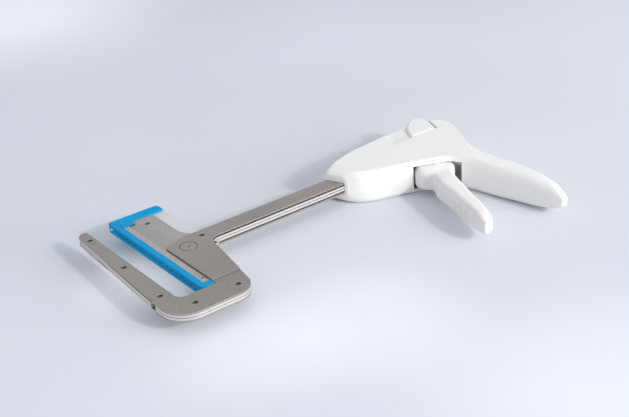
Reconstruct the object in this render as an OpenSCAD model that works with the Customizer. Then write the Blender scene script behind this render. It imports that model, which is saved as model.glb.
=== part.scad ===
// Linear surgical stapler lying on its side.
// X runs along the shaft from the anvil towards the handle, Y across the jaw, Z through the thickness.
// The origin is the centre of the anvil's staple-forming face, on the shaft's axis.

/* [Jaw] */
// Open gap between the anvil face and the cartridge face
jaw_gap = 14.4; // [12:0.1:18]
// Gap left for tissue when the jaw is closed
closed_gap = 1.7; // [1:0.1:3]
// Distance between neighbouring staples of one row
staple_pitch = 5.4; // [5:0.1:7]
// Distance from the opening's closed end to the rows of staples
row_margin = 7.8; // [7.6:0.1:12]
// Length of a staple's crown
staple_crown = 4; // [3:0.1:4.1]
// Leg length of an open staple
staple_leg = 3.6; // [2.5:0.1:3.7]
// Thickness of the staple wire
staple_wire = 0.25; // [0.2:0.01:0.35]
// Distance of each staple row from the middle plane
row_offset = 0.7; // [0.65:0.01:0.8]
// Distance that the pusher travels when the staples are fired
fire_travel = 3.6; // [2.5:0.1:3.6]

/* [Steel frame] */
// Sheet thickness of the two outer frame plates
plate_t = 0.9; // [0.7:0.05:1.2]
// Thickness of each of the two core laminations
core_t = 1.7; // [1.6:0.05:2]
// Height of the step that lifts the plates over the sliding parts
joggle_h = 0.8; // [0.75:0.05:1]
// Length of that step's slope
joggle_l = 1; // [0.5:0.1:2]
// Distance from the shaft's axis to the arm's tip
arm_reach = 51.5; // [51:0.1:54]
// Width of the anvil arm at its tip
arm_tip_w = 6.1; // [5.6:0.1:7]
// Width of the anvil arm where it meets the spine
arm_root_w = 11.8; // [10:0.1:14]
// Distance from the shaft's axis to the closed end of the jaw's opening
opening_reach = 48.8; // [48.8:0.1:50]
// Width of the spine that joins the anvil arm to the shaft
spine_w = 17.3; // [14:0.1:20]
// Radius of the frame's large outer corner
corner_r = 15; // [8:0.5:18]
// Distance from the anvil face to the frame's heel
heel_x = 36.6; // [35:0.1:38]
// Radius of the heel
heel_r = 12; // [6:0.5:14]
// Length by which the raised plate flares back from the heel to the shaft
tee_flare = 10.4; // [8:0.1:13]
// Distance from the anvil face to the front edge of the raised plate
tee_front_x = 22.6; // [22.3:0.1:23.2]
// Width of the shaft
shaft_w = 11.2; // [10.8:0.1:12.5]
// Width of each side rail in the shaft
rail_w = 1.8; // [1.5:0.05:2]
// Radius of the rivets in the frame
rivet_r = 1.5; // [1.2:0.05:1.6]
// Outer radius of the stamped ring
ring_r = 5.1; // [4:0.1:6]

/* [Cartridge and holder] */
// Length by which the cartridge's far side stands past the opening's depth
cartridge_past = 3; // [2.8:0.1:3.6]
// Depth of the cartridge's bar in front of the holder
cartridge_d = 3.6; // [3.2:0.1:3.8]
// Thickness of the cartridge
cartridge_t = 5.8; // [5.7:0.1:6.2]
// Length of the cartridge's arm that guides the retaining pin
guide_l = 29; // [27.5:0.1:30]
// Width of that arm
guide_w = 7.2; // [7:0.1:7.6]
// Sheet thickness of the two holder plates
holder_t = 0.8; // [0.6:0.05:0.85]
// Depth of the holder from the cartridge to its back edge
holder_d = 21.3; // [20.8:0.1:21.8]
// Radius of the retaining pin
pin_r = 1.25; // [1:0.05:1.3]
// Travel of the retaining pin
pin_travel = 15; // [14:0.1:15]
// Free space between neighbouring flat sliding parts
slide_gap = 0.1; // [0.06:0.01:0.12]
// Radial clearance of pins in their bores
bore_gap = 0.08; // [0.05:0.01:0.1]

/* [Handle] */
// Distance from the anvil face to the handle's nose
nose_x = 137; // [132:0.5:140]
// Length of the handle from its nose to its back
handle_l = 100; // [99:0.5:103]
// Thickness of the handle across its two flat faces
handle_t = 21; // [20.6:0.1:24]
// Wall thickness of the two shells
wall_t = 2.2; // [1.8:0.1:2.5]
// Height that the lying flat faces take off the full round
flat_cut = 0.5; // [0.3:0.05:0.8]
// Thickness of the trigger
trigger_t = 14; // [13.6:0.1:15]
// Angle of the trigger's full pull
trigger_pull = 28; // [20:1:28]
// Radius of the trigger's pivot pin
pivot_r = 2.5; // [2:0.1:3]
// Number of grip ribs on the trigger
rib_count = 7; // [5:1:9]
// Radius of each rib
rib_r = 0.8; // [0.5:0.05:1]
// Distance from the shaft's axis to the knob's crest
knob_reach = 27; // [26.5:0.1:28]
// Depth of the grooves in the handle's flat faces that the knob's skirts run in
groove_depth = 1.6; // [1.2:0.1:1.7]
// Travel of the release button
release_travel = 3; // [2:0.1:3.5]

/* [Hidden] */
$fn = 48;

// Colours as the photograph shows them
steel = [0.56, 0.54, 0.51];
light_steel = [0.66, 0.65, 0.63];
bright_steel = [0.82, 0.81, 0.80];
blue = [0.02, 0.55, 0.88];
white = [0.95, 0.95, 0.94];
milky = [0.88, 0.89, 0.90];

// Steps in each rounded corner of a sheet outline
arc_steps = 6;
// Overrun of a cut past the face that it opens
over = 1;
// Radius of small sheet corners
small_r = 0.8;

// Heights of the layers above the middle plane
spine_top = core_t + plate_t;
plate_in = core_t + joggle_h;
plate_out = plate_in + plate_t;
holder_out = plate_in - slide_gap;
holder_in = holder_out - holder_t;
lip_rise = 0.35;
link_t = 0.8;
link_hi = holder_in - slide_gap;
link_lo = link_hi - link_t;
pusher_hi = link_lo - slide_gap;
pusher_lo = slide_gap - holder_in;
cartridge_h = cartridge_t / 2;

// Places across the jaw and the shaft
shaft_h = shaft_w / 2;
channel_h = shaft_h - rail_w;
bar_h = channel_h - 2 * slide_gap;
spine_out = opening_reach + spine_w;
cartridge_far = opening_reach + cartridge_past;
ledge_w = 4.4;
ledge_y = opening_reach - ledge_w;
end_gap = 0.5;
holder_near = ledge_y - end_gap;
joggle_top_y = ledge_y + slide_gap;
joggle_low_y = joggle_top_y + joggle_l;
guide_near = cartridge_far - guide_w;
holder_far = guide_near - end_gap / 2;
pin_y = cartridge_far - guide_w / 2;
tip_drop = 0.8;
tip_round = 2.6;

// Places along the jaw
close_travel = jaw_gap - closed_gap;
holder_x = jaw_gap + cartridge_d;
holder_back = holder_x + holder_d;
tongue_d = 2.3;
tongue_back = holder_x + tongue_d;
staple_recess = 0.5;
staple_back = jaw_gap + staple_recess + staple_leg;
driver_front = staple_back + slide_gap;
driver_x = tongue_back + fire_travel + slide_gap;
driver_d = 2.6;
pusher_x = driver_x + driver_d;
pusher_d = 4.2;
lip_d = 3.5;
link_front = holder_back + end_gap;
link_w = 8.2;
link_back = link_front + link_w;
tee_back = heel_x + tee_flare;
tee_rise = 1;
tee_slope = 13;
tee_rivet_in = 1.6;
tee_rivet_x = tee_back - tee_rivet_in;
inner_r = 4.5;
tee_r = 7;
tee_slope_r = 8;
holder_r = 13;
core_r = 5;

// Staples in one row, and the share of the pitch by which the rows are staggered
staple_line = 2 * (opening_reach - row_margin);
staple_count = floor(staple_line / staple_pitch) + 1;
stagger_share = 0.25;
slot_spare = 0.6;
slot_l = staple_crown + slot_spare;
slot_w = staple_wire + slot_spare / 2;
finger_l = staple_crown - slot_spare;
finger_w = slot_w - slide_gap;

// Handle sizes
half_t = handle_t / 2 + flat_cut;
lie_z = handle_t / 2;
ring_sides = 24;
corner_steps = ring_sides / 4 - 1;
shaft_end = nose_x + 0.35 * handle_l;
pin_shares = [0.14, 0.29];
pin_places = [for (s = pin_shares) nose_x + s * handle_l];
pivot_x = nose_x + 0.59 * handle_l;
drive_arm = close_travel / (2 * sin(trigger_pull / 2));
pivot_y = -drive_arm;
drive_x = pivot_x + drive_arm * sin(trigger_pull / 2);
drive_y = pivot_y + drive_arm * cos(trigger_pull / 2);
drive_r = 1.6;
trigger_h = trigger_t / 2;
cheek_t = 1.8;
yoke_h = trigger_h - cheek_t - 2 * slide_gap;
yoke_before = 6.3;
yoke_behind = 7.7;
yoke_front = drive_x - yoke_before;
yoke_back = drive_x + yoke_behind;
yoke_near = 6;
yoke_far = 5.8;
boss_gap = 0.3;
hub_r = 7;

// Corner p of an outline, rounded by radius r between its neighbours a and b
function corner(a, p, b, r) =
  r == 0 ? [p] :
  let (u = (a - p) / norm(a - p), v = (b - p) / norm(b - p))
  let (half = acos(u * v) / 2, reach = r / tan(half))
  let (centre = p + (u + v) / norm(u + v) * r / sin(half))
  let (s = p + u * reach - centre, e = p + v * reach - centre)
  let (from = atan2(s.y, s.x), turn = atan2(e.y, e.x) - from)
  let (sweep = turn > 180 ? turn - 360 : turn < -180 ? turn + 360 : turn)
  [for (i = [0:arc_steps]) let (turn = from + sweep * i / arc_steps) centre + r * [cos(turn), sin(turn)]];

// Outline from rows of [x, y, corner radius]
function outline(rows) =
  [for (i = [0:len(rows) - 1])
    let (n = len(rows), a = rows[(i + n - 1) % n], p = rows[i], b = rows[(i + 1) % n])
    each corner([a.x, a.y], [p.x, p.y], [b.x, b.y], p.z)];

// Width of the anvil arm at height y
function arm_w(y) =
  arm_root_w + (arm_tip_w - arm_root_w) * (y + opening_reach) / (arm_reach + opening_reach);

// Place of staple i along the jaw, in the row above (side 1) or below (side -1) the middle plane
function staple_y(i, side) = (i - (staple_count - 1) / 2 + side * stagger_share) * staple_pitch;

// Flat sheet between two heights
module sheet(points, lo, hi) {
  translate([0, 0, lo]) linear_extrude(height = hi - lo) polygon(points);
}

// Block between two opposite corners
module block(lo, hi) {
  translate(lo) cube(hi - lo);
}

// Round post along Z between two heights
module post(x, y, r, lo, hi) {
  translate([x, y, lo]) cylinder(r = r, h = hi - lo);
}

// Round rod along X between two places
module rod(y, z, r, from, to) {
  translate([from, y, z]) rotate([0, 90, 0]) cylinder(r = r, h = to - from);
}

// Slot through everything that lets a post of radius r pass while its sheet slides by travel
module slide_slot(x, y, r, travel) {
  free = r + 2 * slide_gap;
  post(x, y, free, -lie_z, lie_z);
  post(x + travel, y, free, -lie_z, lie_z);
  block([x, y - free, -lie_z], [x + travel, y + free, lie_z]);
}

module mirror_z() {
  children();
  mirror([0, 0, 1]) children();
}

// Steel frame

frame_outline = outline([
  [0, arm_reach - tip_drop, small_r],
  [0, -opening_reach, inner_r],
  [tee_front_x, -opening_reach, small_r],
  [tee_front_x, tee_rise, small_r],
  [tee_front_x + tee_slope, shaft_h, tee_slope_r],
  [shaft_end, shaft_h, 0],
  [shaft_end, -shaft_h, 0],
  [tee_back, -shaft_h, tee_r],
  [heel_x, -spine_out, heel_r],
  [-arm_w(-spine_out), -spine_out, corner_r],
  [-arm_w(arm_reach - tip_round), arm_reach - tip_round, small_r],
  [-arm_tip_w / 2, arm_reach, small_r]
]);

// Rivets through the arm and the spine as [x, y]
arm_rivet_shares = [0.79, 0, -0.77];
spine_rivet_shares = [0.12, 0.84];
jaw_rivets = concat(
  [for (s = arm_rivet_shares) [-arm_w(s * arm_reach) / 2, s * arm_reach]],
  [for (s = spine_rivet_shares) [s * heel_x, -opening_reach - spine_w / 2]]
);
band_rivet = [tee_back, -2 * shaft_h];
band_rivet_r = 0.9;
rivet_sink = 0.3;

// The plate's height across the frame: flat over the spine, stepped up over the sliding parts
plate_profile = [
  [-spine_out - over, core_t],
  [-joggle_low_y, core_t],
  [-joggle_top_y, plate_in],
  [arm_reach, plate_in],
  [arm_reach, plate_out],
  [-joggle_top_y - plate_t / 2, plate_out],
  [-joggle_low_y - plate_t / 2, spine_top],
  [-spine_out - over, spine_top]
];

module frame_plate() {
  difference() {
    union() {
      intersection() {
        sheet(frame_outline, core_t, spine_top);
        block([-spine_out, -spine_out - over, 0], [jaw_gap / 2, arm_reach + over, plate_out]);
      }
      intersection() {
        sheet(frame_outline, 0, plate_out + over);
        translate([jaw_gap / 2, 0, 0])
          rotate([90, 0, 90])
            linear_extrude(height = shaft_end)
              polygon(plate_profile);
      }
    }
    for (p = jaw_rivets) post(p.x, p.y, rivet_r + bore_gap, 0, plate_out + over);
    post(tee_rivet_x, 0, rivet_r + bore_gap, 0, plate_out + over);
    post(band_rivet.x, band_rivet.y, band_rivet_r + bore_gap, 0, plate_out + over);
    for (x = pin_places) post(x, 0, rivet_r + bore_gap, 0, plate_out + over);
  }
}

// Shallow stamped ring around a plain dot
ring_place = [33, -6];
ring_line = 0.45;
stamp_depth = 0.15;
module stamp() {
  difference() {
    post(ring_place.x, ring_place.y, ring_r, plate_out - stamp_depth, plate_out + over);
    post(ring_place.x, ring_place.y, ring_r - ring_line, 0, plate_out + 2 * over);
  }
  post(ring_place.x, ring_place.y, ring_line * 2, plate_out - stamp_depth, plate_out + over);
}

module frame_plate_upper() {
  color(steel) difference() {
    frame_plate();
    stamp();
  }
}

module frame_plate_lower() {
  color(steel) mirror([0, 0, 1]) frame_plate();
}

anvil_joint = 4.6;
split_y = opening_reach - anvil_joint;
core_outline = outline([
  [0, -split_y, 0],
  [0, -opening_reach, inner_r],
  [tee_front_x, -opening_reach, small_r],
  [tee_front_x, -ledge_y, small_r],
  [link_front, -ledge_y, small_r],
  [link_front, -channel_h, core_r],
  [shaft_end, -channel_h, 0],
  [shaft_end, -shaft_h, 0],
  [tee_back, -shaft_h, tee_r],
  [heel_x, -spine_out, heel_r],
  [-arm_w(-spine_out), -spine_out, corner_r],
  [-arm_w(-split_y), -split_y, 0]
]);

module core_lamination() {
  difference() {
    sheet(core_outline, 0, core_t);
    for (p = jaw_rivets) post(p.x, p.y, rivet_r + bore_gap, -over, core_t + over);
    post(band_rivet.x, band_rivet.y, band_rivet_r + bore_gap, -over, core_t + over);
  }
}

module core_lamination_upper() {
  color(bright_steel) core_lamination();
}

module core_lamination_lower() {
  color(bright_steel) mirror([0, 0, 1]) core_lamination();
}

rail_x = holder_back + holder_r + tongue_d;
module far_rail_upper() {
  color(bright_steel) block([rail_x, channel_h, 0], [shaft_end, shaft_h, core_t]);
}

module far_rail_lower() {
  color(bright_steel) block([rail_x, channel_h, -core_t], [shaft_end, shaft_h, 0]);
}

// Anvil bar with two rows of pockets in its face, deep enough for the fired staples' straight legs
strip_t = 1.4;
strip_proud = 0.7;
strip_top = 0.45 * arm_reach;
strip_step = 0.2 * arm_reach;
strip_low = split_y - 5 * small_r;
pocket_d = 1.6;
pocket_l = (slot_l - staple_wire) / 2;
pin_seat = 3.6;

module anvil_bar() {
  color(bright_steel) difference() {
    sheet([
      [0, arm_reach - tip_drop - small_r],
      [0, -split_y],
      [strip_t - arm_w(-split_y), -split_y],
      [strip_t - arm_w(strip_top), strip_top],
      [-arm_w(strip_top), strip_top],
      [-arm_w(arm_reach - tip_round), arm_reach - tip_round - small_r],
      [-arm_tip_w / 2, arm_reach - small_r]
    ], -core_t, core_t);
    for (side = [-1, 1], i = [0:staple_count - 1], half = [-1, 1])
      translate([-pocket_d, staple_y(i, side) + half * (slot_l / 4), side * row_offset])
        translate([0, -pocket_l / 2, -slot_w / 2])
          cube([pocket_d + over, pocket_l, slot_w]);
    for (s = arm_rivet_shares)
      post(-arm_w(s * arm_reach) / 2, s * arm_reach, rivet_r + bore_gap, -plate_in, plate_in);
    rod(pin_y, 0, pin_r + 2 * bore_gap, -pin_seat, over);
  }
}

// Bright strip let into the arm's outer edge
module arm_backing_strip() {
  color(bright_steel) sheet([
    [strip_t - arm_w(strip_top), strip_top],
    [-slide_gap - arm_w(strip_top), strip_top],
    [-slide_gap - arm_w(strip_step), strip_step],
    [-strip_proud - arm_w(strip_step), strip_step],
    [-strip_proud - arm_w(-strip_low), -strip_low],
    [strip_t - arm_w(-strip_low), -strip_low]
  ], 2 * slide_gap - core_t, core_t - 2 * slide_gap);
}

module frame_rivets() {
  color(steel) {
    for (p = jaw_rivets) post(p.x, p.y, rivet_r, rivet_sink - spine_top, spine_top - rivet_sink);
    post(tee_rivet_x, 0, rivet_r, rivet_sink - plate_out, plate_out - rivet_sink);
    post(band_rivet.x, band_rivet.y, band_rivet_r, -plate_out, plate_out);
  }
}

// Washers that fill the step between the core and the raised plates
washer_r = 2;
module rail_washers() {
  color(bright_steel) mirror_z() difference() {
    post(band_rivet.x, band_rivet.y, washer_r, core_t, plate_in);
    post(band_rivet.x, band_rivet.y, band_rivet_r + bore_gap, 0, plate_out);
  }
}

// Cartridge

cartridge_near = opening_reach - end_gap;
guide_back = holder_x + guide_l;
pin_bore = pin_r + bore_gap;
boss_wall = 0.65;
boss_r = pin_r + boss_wall;
guide_bore = boss_r + 2 * slide_gap;
guide_step = driver_x - slide_gap / 2;
lug_l = 8;
lug_w = 4.6;
lug_t = 0.4;

module cartridge_body() {
  color(blue) difference() {
    union() {
      sheet(outline([
        [jaw_gap, -cartridge_near, 3 * small_r],
        [jaw_gap, cartridge_far, small_r],
        [holder_x, cartridge_far, 0],
        [holder_x, -cartridge_near, 0]
      ]), -cartridge_h, cartridge_h);
      block([holder_x, -ledge_y, -holder_in - lip_rise + slide_gap],
        [tongue_back, ledge_y, holder_in + lip_rise - slide_gap]);
      block([holder_x, -cartridge_near, -cartridge_h], [tee_front_x - end_gap, -ledge_y, cartridge_h]);
      sheet(outline([
        [holder_x, guide_near, 0],
        [guide_back, guide_near, small_r],
        [guide_back, cartridge_far, 3 * small_r],
        [holder_x, cartridge_far, 0]
      ]), -cartridge_h, cartridge_h);
      mirror_z() block([holder_x, guide_near - lug_w, holder_out + lip_rise + slide_gap / 2],
        [holder_x + lug_l, guide_near, holder_out + lip_rise + slide_gap / 2 + lug_t]);
    }
    for (side = [-1, 1], i = [0:staple_count - 1])
      translate([jaw_gap - over, staple_y(i, side) - slot_l / 2, side * row_offset - slot_w / 2])
        cube([tongue_back - jaw_gap + 2 * over, slot_l, slot_w]);
    rod(pin_y, 0, pin_bore, jaw_gap - over, guide_back + over);
    rod(pin_y, 0, guide_bore, guide_step, guide_back + over);
    block([guide_step, guide_near - over, link_lo - slide_gap],
      [guide_back + over, pin_y, link_hi + slide_gap]);
  }
}

// Open staples, each a crown and two legs
module staples() {
  color(bright_steel)
    for (side = [-1, 1], i = [0:staple_count - 1])
      translate([staple_back, staple_y(i, side), 0])
        sheet([
          [0, -staple_crown / 2],
          [0, staple_crown / 2],
          [-staple_leg, staple_crown / 2],
          [-staple_leg, staple_crown / 2 - staple_wire],
          [-staple_wire, staple_crown / 2 - staple_wire],
          [-staple_wire, staple_wire - staple_crown / 2],
          [-staple_leg, staple_wire - staple_crown / 2],
          [-staple_leg, -staple_crown / 2]
        ], side * row_offset - staple_wire / 2, side * row_offset + staple_wire / 2);
}

// Comb that pushes every staple out at once
module staple_driver() {
  color(white) {
    block([driver_x, -holder_near, pusher_lo], [pusher_x, holder_near, pusher_hi]);
    for (side = [-1, 1], i = [0:staple_count - 1])
      translate([driver_front, staple_y(i, side) - finger_l / 2, side * row_offset - finger_w / 2])
        cube([driver_x - driver_front + 6 * slide_gap, finger_l, finger_w]);
  }
}

// Holder that slides inside the raised frame

tail_end = yoke_back - 2 * over;
holder_outline = outline([
  [holder_x, -holder_near, small_r],
  [holder_x, holder_far, small_r],
  [holder_back, holder_far, small_r],
  [holder_back, bar_h, holder_r],
  [tail_end, bar_h, 0],
  [tail_end, -bar_h, 0],
  [holder_back, -bar_h, 2 * small_r],
  [holder_back, -holder_near, small_r]
]);
stud = [holder_x + 0.62 * holder_d, 0.81 * holder_far];
lip_stud = [holder_x + 0.7 * lip_d, -0.9 * holder_near];
lip_stud_r = 0.7;
holder_rivet_r = 1.2;
holder_rivet_in = 4.6;
holder_rivet_x = pusher_x + pusher_d + holder_rivet_in;
holder_rivet_shares = [0.32, 0.86];
yoke_rivet_x = yoke_back - yoke_behind / 2;
yoke_rivet_r = 1;

module holder_plate() {
  difference() {
    union() {
      difference() {
        sheet(holder_outline, holder_in, holder_out);
        block([holder_x - over, -spine_out, 0], [holder_x + lip_d - holder_t, spine_out, plate_out]);
      }
      block([holder_x, -holder_near, holder_in + lip_rise],
        [holder_x + lip_d, holder_far, holder_out + lip_rise]);
    }
    post(stud.x, stud.y, rivet_r + bore_gap, 0, plate_out + over);
    post(lip_stud.x, lip_stud.y, lip_stud_r + bore_gap, 0, plate_out + over);
    for (s = holder_rivet_shares)
      post(holder_rivet_x, -s * holder_near, holder_rivet_r + bore_gap, 0, plate_out);
    post(yoke_rivet_x, 0, yoke_rivet_r + bore_gap, 0, plate_out);
    slide_slot(tee_rivet_x, 0, rivet_r, close_travel);
    for (x = pin_places) slide_slot(x, 0, rivet_r, close_travel);
  }
}

module holder_plate_upper() {
  color(light_steel) holder_plate();
}

module holder_plate_lower() {
  color(light_steel) mirror([0, 0, 1]) holder_plate();
}

module holder_rivets() {
  color(bright_steel) {
    for (s = holder_rivet_shares) {
      post(holder_rivet_x, -s * holder_near, holder_rivet_r, -holder_out, holder_out);
      post(holder_rivet_x, -s * holder_near, 2 * holder_rivet_r, -holder_in, holder_in);
    }
    mirror_z() {
      post(stud.x, stud.y, rivet_r, holder_in, holder_out - rivet_sink);
      post(lip_stud.x, lip_stud.y, lip_stud_r, holder_in + lip_rise, holder_out + lip_rise);
    }
  }
}

yoke_slot_h = drive_arm * (1 - cos(trigger_pull / 2)) / 2 + drive_r + 3 * slide_gap;
yoke_slot_y = drive_y + drive_arm * (1 - cos(trigger_pull / 2)) / 2;
stub_in = holder_out + over;
module closing_yoke() {
  color(bright_steel) difference() {
    block([yoke_front, -yoke_near, -yoke_h], [yoke_back, yoke_far, yoke_h]);
    block([yoke_front - over, -bar_h - 2 * slide_gap, -holder_out],
      [yoke_back + over, bar_h + 2 * slide_gap, holder_out]);
    mirror_z() block([drive_x - drive_r - slide_gap, yoke_slot_y - yoke_slot_h, stub_in],
      [drive_x + drive_r + slide_gap, yoke_slot_y + yoke_slot_h, yoke_h + over]);
    post(yoke_rivet_x, 0, yoke_rivet_r + bore_gap, -lie_z, lie_z);
  }
}

module yoke_rivets() {
  color(bright_steel) mirror_z() post(yoke_rivet_x, 0, yoke_rivet_r, holder_in, yoke_h);
}

// Pusher with its cross head and stem

pusher_past = 4;
pusher_end = yoke_back + pusher_past;
module pusher_bar() {
  color(bright_steel) difference() {
    sheet(outline([
      [pusher_x, -holder_near, small_r],
      [pusher_x, holder_near, small_r],
      [pusher_x + pusher_d, holder_near, small_r],
      [pusher_x + pusher_d, bar_h, 3 * small_r],
      [pusher_end, bar_h, small_r],
      [pusher_end, -bar_h, small_r],
      [pusher_x + pusher_d, -bar_h, 3 * small_r],
      [pusher_x + pusher_d, -holder_near, small_r]
    ]), pusher_lo, pusher_hi);
    slide_slot(tee_rivet_x, 0, rivet_r, close_travel + fire_travel);
    for (x = pin_places) slide_slot(x, 0, rivet_r, close_travel + fire_travel);
  }
}

// Retaining pin and what moves it

pin_tip = jaw_gap - small_r;
boss_l = 6;
boss_x = link_front + small_r;
link_past = 9;
link_end = tee_rivet_x + pin_travel + link_past;
key_l = 2.4;
barb_share = 0.75;
barb_h = bar_h * barb_share;
key_h = bar_h / 2;
link_far_r = 2;

module retaining_pin() {
  color(bright_steel) {
    rod(pin_y, 0, pin_r, pin_tip + pin_r, boss_x + boss_l);
    translate([pin_tip + pin_r, pin_y, 0]) rotate([0, -90, 0])
      cylinder(r1 = pin_r, r2 = pin_r / 3, h = pin_r);
  }
}

module pin_link() {
  color(milky) difference() {
    union() {
      sheet(outline([
        [link_front, -bar_h, small_r],
        [link_front, pin_y, small_r],
        [link_back, pin_y, link_far_r],
        [link_back, bar_h, link_w],
        [link_end, bar_h, 0],
        [link_end, -bar_h, 0]
      ]), link_lo, link_hi);
      rod(pin_y, 0, boss_r, boss_x, boss_x + boss_l);
    }
    rod(pin_y, 0, pin_r + bore_gap / 2, boss_x - over, boss_x + boss_l + over);
    slide_slot(tee_rivet_x, 0, rivet_r, pin_travel);
    block([link_end - key_l - slide_gap, -key_h - slide_gap, 0],
      [link_end + over, key_h + slide_gap, plate_in]);
    block([link_end - 2 * key_l, -barb_h, 0], [link_end - key_l, barb_h, plate_in]);
  }
}

slider_x = yoke_back + pin_travel + end_gap;
slider_d = 4.5;
slider_neck = yoke_far + end_gap;
neck_in = 5;
neck_x = slider_x - neck_in;
module pin_strip() {
  color(bright_steel) difference() {
    union() {
      sheet([
        [link_end + slide_gap, -bar_h],
        [link_end + slide_gap, bar_h],
        [slider_x, bar_h],
        [slider_x, -bar_h]
      ], link_lo, link_hi);
      block([link_end - key_l, -key_h, link_lo], [link_end + over, key_h, link_hi]);
      block([link_end - 2 * key_l + slide_gap, slide_gap - barb_h, link_lo],
        [link_end - key_l - slide_gap, barb_h - slide_gap, link_hi]);
      block([link_end - key_l - over, -key_h, link_lo], [link_end, key_h, link_hi]);
    }
    for (x = pin_places) slide_slot(x, 0, rivet_r, pin_travel);
  }
}

// Slider that carries the knob through the slot in the shells
slider_h = 1.6;
knob_seat = 0.215 * handle_l;
module pin_slider() {
  color(white) {
    block([slider_x, -bar_h, link_lo], [slider_x + slider_d, slider_neck + over, link_hi]);
    block([neck_x, slider_neck, -slider_h], [slider_x + slider_d, knob_seat, slider_h]);
  }
}

// Thumb knob, a saddle over the handle's far edge that leans back: shares of the handle's length from
// its nose
knob_foot = 0.034 * handle_l;
knob_front_shares = [[0.675, 0.034], [0.72, 0.125], [0.765, 0.19]];
knob_crest_share = 0.87;
knob_crest_l = 7;
knob_back_shares = [[0.955, 0.235], [0.94, 0.15], [0.9, 0.034]];
// Its layers from the middle plane outwards as [share of the handle's half thickness, share of its outline]
knob_layers = [[0.6, 1], [0.78, 0.97], [0.9, 0.92], [0.96, 0.85], [0.985, 0.78]];
knob_outline = concat(
  place(knob_front_shares),
  [[nose_x + knob_crest_share * handle_l, knob_reach],
    [nose_x + knob_crest_share * handle_l + knob_crest_l, knob_reach]],
  place(knob_back_shares)
);
knob_centre = [nose_x + 0.83 * handle_l, 0.15 * handle_l];

module pin_knob() {
  color(white) difference() {
    hull() for (layer = knob_layers)
      sheet([for (p = smooth(knob_outline)) knob_centre + (p - knob_centre) * layer[1]],
        -layer[0] * lie_z, layer[0] * lie_z);
    block([nose_x, 0, groove_depth - slide_gap - lie_z],
      [nose_x + 2 * handle_l, knob_seat, lie_z - groove_depth + slide_gap]);
  }
}

// Grooves that let the knob's skirts slide by the pin's travel
module knob_groove() {
  front = place(knob_front_shares);
  back = place(knob_back_shares);
  start = [pin_travel + end_gap, 0];
  sheet([
    front[0] - start, front[1] - start, front[2] - start,
    [front[2].x - start.x, knob_reach], [back[0].x + slide_gap, knob_reach],
    back[0] + [slide_gap, 0], back[1] + [slide_gap, 0], back[2] + [slide_gap, 0],
  ], lie_z - groove_depth, lie_z + over);
}

// Handle shells: each station joins a point of the far outline to one of the near outline

// Shares of the handle's length, from the nose and from the shaft's axis
far_shares = [[0.005, 0.072], [0.025, 0.09], [0.07, 0.11], [0.13, 0.13], [0.21, 0.149], [0.31, 0.173],
  [0.41, 0.182], [0.51, 0.192], [0.61, 0.204], [0.71, 0.21], [0.81, 0.203], [0.91, 0.185],
  [0.99, 0.16], [1.03, 0.105], [1.02, 0.02], [0.975, -0.08], [0.91, -0.19], [0.87, -0.3],
  [0.875, -0.45], [0.9, -0.59], [0.915, -0.73], [0.915, -0.87], [0.895, -1], [0.86, -1.09]];
near_shares = [[0.065, -0.072], [0.083, -0.088], [0.115, -0.12], [0.16, -0.15], [0.215, -0.177],
  [0.28, -0.199],
  [0.35, -0.22], [0.42, -0.243], [0.48, -0.265], [0.54, -0.29], [0.59, -0.31], [0.63, -0.33],
  [0.66, -0.36], [0.68, -0.4], [0.695, -0.445], [0.707, -0.495], [0.72, -0.56], [0.735, -0.64],
  [0.753, -0.73], [0.77, -0.82], [0.783, -0.9], [0.797, -0.97], [0.812, -1.03], [0.83, -1.08]];
// Shares of the handle's full half height at each station, and of its edge rounding
height_shares = [0.62, 0.8, 0.92, 0.98, 1, 1, 1, 1, 1, 1, 1, 1, 1, 1, 0.98, 0.96, 0.94, 0.92, 0.9, 0.88,
  0.86,
  0.8, 0.64, 0.28];
edge_shares = [0.45, 0.42, 0.4, 0.4, 0.4, 0.4, 0.4, 0.4, 0.4, 0.4, 0.4, 0.42, 0.45, 0.48, 0.52, 0.56,
  0.58, 0.6,
  0.6, 0.6, 0.6, 0.58, 0.5, 0.3];

function place(shares) = [for (s = shares) [nose_x + s.x * handle_l, s.y * handle_l]];

// Smooth curve through a list, with one more point between each two
function spline_at(p, i, t) =
  let (a = p[max(i - 1, 0)], b = p[i], c = p[i + 1], d = p[min(i + 2, len(p) - 1)])
  0.5 * (2 * b + (c - a) * t + (2 * a - 5 * b + 4 * c - d) * t * t + (3 * b - a - 3 * c + d) * t * t * t);
function smooth(p) = [for (i = [0:len(p) - 2]) each [p[i], spline_at(p, i, 0.5)], p[len(p) - 1]];
function inset(p, q, depth) = [for (i = [0:len(p) - 1]) p[i] + (q[i] - p[i]) / norm(q[i] - p[i]) * depth];
function flatten_end(p, trim) = [for (i = [trim:len(p) - 1 - trim]) p[i]];

// Section between points a and b: a block of half height h with its four edges rounded by radius r
function section(a, b, h, r) =
  let (mid = (a + b) / 2, half_w = norm(a - b) / 2, out = (a - b) / norm(a - b),
    e = min(r, half_w * 0.9, h * 0.9))
  [for (quarter = [0:3], k = [0:corner_steps])
    let (angle = 90 * (quarter + k / corner_steps))
    let (sx = quarter == 0 || quarter == 3 ? 1 : -1, sz = quarter < 2 ? 1 : -1)
    let (p = mid + out * (sx * (half_w - e) + e * cos(angle)))
    [p.x, p.y, sz * (h - e) + e * sin(angle)]];

module loft(a, b, h, r) {
  last = len(a) - 1;
  polyhedron(
    points = [for (i = [0:last]) each section(a[i], b[i], h[i], r[i])],
    faces = concat(
      [[for (k = [0:ring_sides - 1]) k]],
      [for (i = [0:last - 1], k = [0:ring_sides - 1])
        let (n = (k + 1) % ring_sides, p = i * ring_sides, q = p + ring_sides)
        each [[p + k, q + k, q + n], [p + k, q + n, p + n]]],
      [[for (k = [ring_sides - 1:-1:0]) last * ring_sides + k]]
    ));
}

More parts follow.
